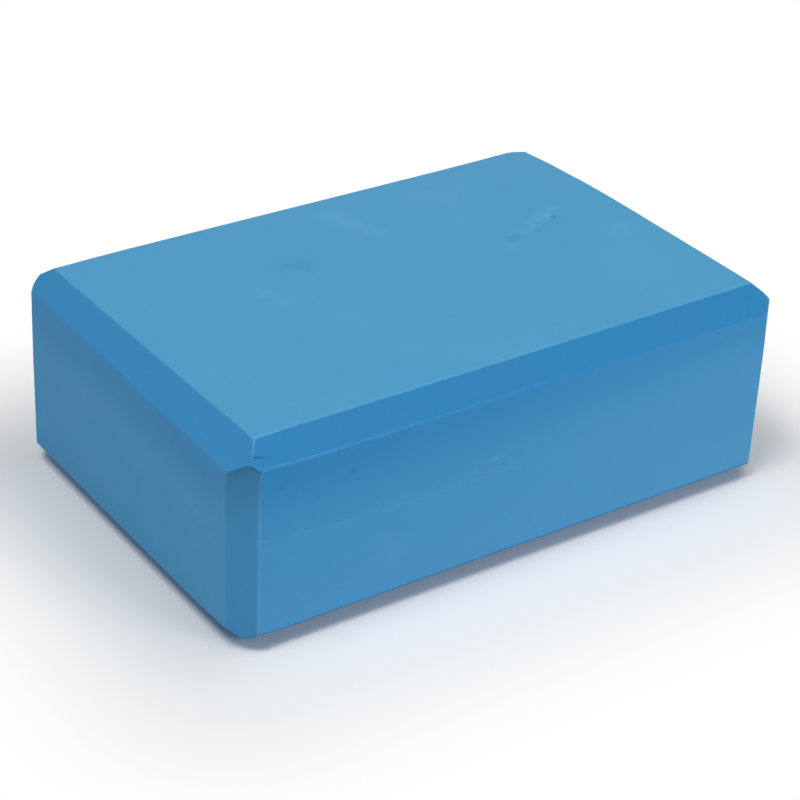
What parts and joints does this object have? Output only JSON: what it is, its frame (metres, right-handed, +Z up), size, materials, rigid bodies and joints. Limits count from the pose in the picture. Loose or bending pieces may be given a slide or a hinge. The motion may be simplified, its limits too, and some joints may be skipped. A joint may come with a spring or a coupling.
{
  "type": "yoga block",
  "caption": "Firm foam yoga block, a plain rectangular brick with every edge and corner bevelled.",
  "frame": {"origin": "middle of the underside, on the floor that the block lies on", "axes": "+X along the block's length, +Y across its width, away from the nicked front bevel, +Z up"},
  "size_m": [0.229, 0.152, 0.0785],
  "materials": {
    "foam": "matte closed-cell foam, blue"
  },
  "bodies": {
    "root": {"block": "foam"}
  },
  "joints": []
}
